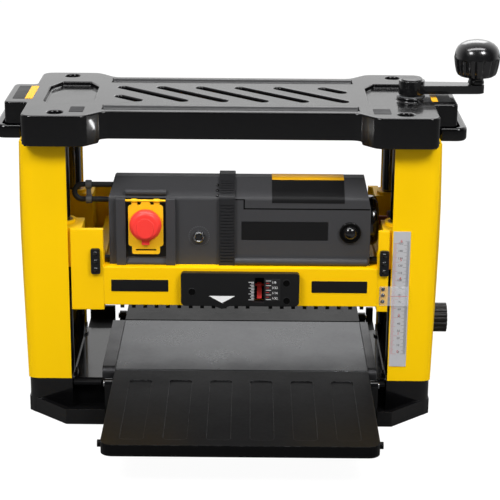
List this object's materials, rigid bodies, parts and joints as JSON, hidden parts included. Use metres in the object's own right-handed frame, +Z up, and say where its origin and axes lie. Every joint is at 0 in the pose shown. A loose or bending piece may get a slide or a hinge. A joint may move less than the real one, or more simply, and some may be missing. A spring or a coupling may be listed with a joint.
{
  "type": "thickness planer",
  "caption": "Benchtop thickness planer: cutter carriage on four posts with a screw lift, crank on top, folding tables, flap switch and depth gauge.",
  "frame": {"origin": "centre of the four bench bolt holes, on the bench", "axes": "+X to the crank's side, +Y from infeed to outfeed, +Z up"},
  "size_m": [0.6546, 0.658, 0.4856],
  "materials": {
    "black_casting": "gloss black paint",
    "black_moulding": "gloss black",
    "yellow_paint": "semi-gloss yellow",
    "deck_paint": "yellow paint in shade",
    "bed_steel": "satin dark steel",
    "rail_alloy": "cast, bare",
    "table_paint": "satin black",
    "post_chrome": "ground chrome",
    "screw_steel": "oiled steel",
    "bush_bronze": "bronze",
    "chain_steel": "oiled dark steel",
    "scale_silver": "printed silver",
    "dark_plastic": "fine texture",
    "grip_plastic": "satin black",
    "crank_black": "satin black",
    "return_roller": "satin black",
    "cutter_steel": "machined",
    "knife_steel": "ground",
    "bearing_steel": "ground",
    "roller_rubber": "matt",
    "belt_rubber": "matt",
    "gearbox_iron": "as cast",
    "hood_metal": "satin black",
    "stator_steel": "laminated",
    "armature_copper": "wound copper",
    "bell_plastic": "gloss black",
    "dark_steel": "black",
    "switch_plastic": "matt black",
    "green_button": "gloss",
    "red_button": "gloss",
    "yellow_plastic": "gloss",
    "clear_window": "clear",
    "lead_rubber": "matt",
    "clip_plastic": "grey"
  },
  "bodies": {
    "base": {"base_casting": "black_casting", "bed_plate": "bed_steel", "bed_rails": "rail_alloy", "guide_posts": "post_chrome", "lift_chain": "chain_steel", "screw_bushes": "bush_bronze", "left_column_cover": "yellow_paint", "right_column_cover": "yellow_paint", "scale_plate": "scale_silver", "top_cover": "black_moulding", "handle_grips": "grip_plastic", "table_pins": "screw_steel"},
    "crank": {"right_lead_screw": "screw_steel", "crank_arm": "crank_black"},
    "left_screw": {"left_lead_screw": "screw_steel"},
    "carriage": {"left_carriage_side": "yellow_paint", "right_carriage_side": "yellow_paint", "front_crossbar": "yellow_paint", "rear_crossbar": "yellow_paint", "motor_deck": "deck_paint", "post_bushes": "bush_bronze", "lift_nuts": "bush_bronze", "carriage_bearings": "bearing_steel", "drive_belt": "belt_rubber", "feed_chain": "chain_steel", "feed_gearbox": "gearbox_iron", "chip_hood": "hood_metal", "motor_stator": "stator_steel", "motor_end_bell": "bell_plastic", "motor_cover": "dark_plastic", "motor_cover_lid": "dark_plastic", "cover_strap": "dark_plastic", "tie_rod": "dark_steel", "rod_brackets": "dark_steel", "brush_caps": "bell_plastic", "switch_body": "switch_plastic", "gauge_bezel": "switch_plastic", "indicator_window": "clear_window", "motor_lead": "lead_rubber", "lead_clip": "clip_plastic"},
    "cutter": {"cutterhead": "cutter_steel", "knives": "knife_steel"},
    "armature": {"motor_armature": "armature_copper"},
    "pawls": {"kickback_pawls": "screw_steel"},
    "breaker": {"breaker_button": "switch_plastic"},
    "start": {"start_button": "green_button"},
    "stop": {"stop_button": "red_button"},
    "flap": {"switch_flap": "yellow_plastic"},
    "paddle": {"stop_paddle": "red_button"},
    "pointer": {"gauge_pointer": "red_button"},
    "foot": {"gauge_foot": "switch_plastic"},
    "depth_stop": {"depth_stop_knob": "grip_plastic"},
    "front_return_roller": {"front_return_roller": "return_roller"},
    "rear_return_roller": {"rear_return_roller": "return_roller"},
    "crank_knob": {"crank_knob": "grip_plastic"},
    "infeed_roller": {"infeed_roller": "roller_rubber"},
    "outfeed_roller": {"outfeed_roller": "roller_rubber"},
    "infeed_table": {"infeed_table": "table_paint"},
    "outfeed_table": {"outfeed_table": "table_paint"}
  },
  "joints": [
    {"name": "crank_turn", "type": "hinge", "parent": "base", "child": "crank", "pos_m": [0.236, 0, 0], "axis": [0, 0, -1], "range_deg": [-15120, 11160]},
    {"name": "left_screw_turn", "type": "hinge", "parent": "base", "child": "left_screw", "pos_m": [-0.236, 0, 0], "axis": [0, 0, -1], "range_deg": [-15120, 11160]},
    {"name": "carriage_lift", "type": "slide", "parent": "base", "child": "carriage", "axis": [0, 0, 1], "range_m": [-0.0841, 0.0621]},
    {"name": "knob_spin", "type": "hinge", "parent": "crank", "child": "crank_knob", "pos_m": [0.32, 0, 0.45], "axis": [0, 0, 1], "continuous": true},
    {"name": "front_return_spin", "type": "hinge", "parent": "base", "child": "front_return_roller", "pos_m": [0, -0.08, 0.404], "axis": [1, 0, 0], "continuous": true},
    {"name": "rear_return_spin", "type": "hinge", "parent": "base", "child": "rear_return_roller", "pos_m": [0, 0.08, 0.404], "axis": [1, 0, 0], "continuous": true},
    {"name": "cutter_spin", "type": "hinge", "parent": "carriage", "child": "cutter", "pos_m": [0, 0, 0.1725], "axis": [1, 0, 0], "continuous": true},
    {"name": "motor_spin", "type": "hinge", "parent": "carriage", "child": "armature", "pos_m": [0.1, -0.04, 0.252], "axis": [1, 0, 0], "continuous": true},
    {"name": "infeed_spin", "type": "hinge", "parent": "carriage", "child": "infeed_roller", "pos_m": [0, -0.062, 0.1665], "axis": [1, 0, 0], "continuous": true},
    {"name": "outfeed_spin", "type": "hinge", "parent": "carriage", "child": "outfeed_roller", "pos_m": [0, 0.062, 0.1665], "axis": [1, 0, 0], "continuous": true},
    {"name": "pawl_swing", "type": "hinge", "parent": "carriage", "child": "pawls", "pos_m": [0, -0.092, 0.168], "axis": [1, 0, 0], "range_deg": [0, 35]},
    {"name": "breaker_press", "type": "slide", "parent": "carriage", "child": "breaker", "axis": [0, 1, 0], "range_m": [0, 0.0015], "stiffness_N_per_m": 1500, "springref_m": -0.001},
    {"name": "start_press", "type": "slide", "parent": "carriage", "child": "start", "axis": [0, 1, 0], "range_m": [0, 0.0025], "stiffness_N_per_m": 1200, "springref_m": -0.001},
    {"name": "flap_swing", "type": "hinge", "parent": "carriage", "child": "flap", "pos_m": [-0.1085, -0.097, 0.293], "axis": [-1, 0, 0], "range_deg": [0, 110]},
    {"name": "paddle_press", "type": "slide", "parent": "flap", "child": "paddle", "axis": [0, 1, 0], "range_m": [0, 0.0025], "stiffness_N_per_m": 1200, "springref_m": -0.001},
    {"name": "stop_press", "type": "slide", "parent": "carriage", "child": "stop", "axis": [0, 1, 0], "range_m": [-0.0001, 0.0026]},
    {"name": "foot_lift", "type": "slide", "parent": "carriage", "child": "foot", "axis": [0, 0, 1], "range_m": [0, 0.004]},
    {"name": "pointer_swing", "type": "hinge", "parent": "carriage", "child": "pointer", "pos_m": [0.0385, -0.095, 0.1795], "axis": [-1, 0, 0], "range_deg": [-0.5, 90.5]},
    {"name": "depth_stop_turn", "type": "hinge", "parent": "base", "child": "depth_stop", "pos_m": [0.25, -0.04, 0.116], "axis": [1, 0, 0], "range_deg": [0, 270]},
    {"name": "infeed_table_fold", "type": "hinge", "parent": "base", "child": "infeed_table", "pos_m": [0, -0.128, 0.052], "axis": [-1, 0, 0], "range_deg": [0, 90]},
    {"name": "outfeed_table_fold", "type": "hinge", "parent": "base", "child": "outfeed_table", "pos_m": [0, 0.128, 0.052], "axis": [1, 0, 0], "range_deg": [0, 90]}
  ],
  "couplings": [
    {"joint": "left_screw_turn", "follows": "crank_turn", "ratio": 1},
    {"joint": "carriage_lift", "follows": "crank_turn", "m_per_rad": 0.00031831},
    {"joint": "motor_spin", "follows": "cutter_spin", "ratio": 1.8},
    {"joint": "infeed_spin", "follows": "cutter_spin", "ratio": -0.0075},
    {"joint": "outfeed_spin", "follows": "cutter_spin", "ratio": -0.0075},
    {"joint": "stop_press", "follows": "paddle_press", "ratio": 1},
    {"joint": "pointer_swing", "follows": "foot_lift", "rad_per_m": 392.7}
  ]
}
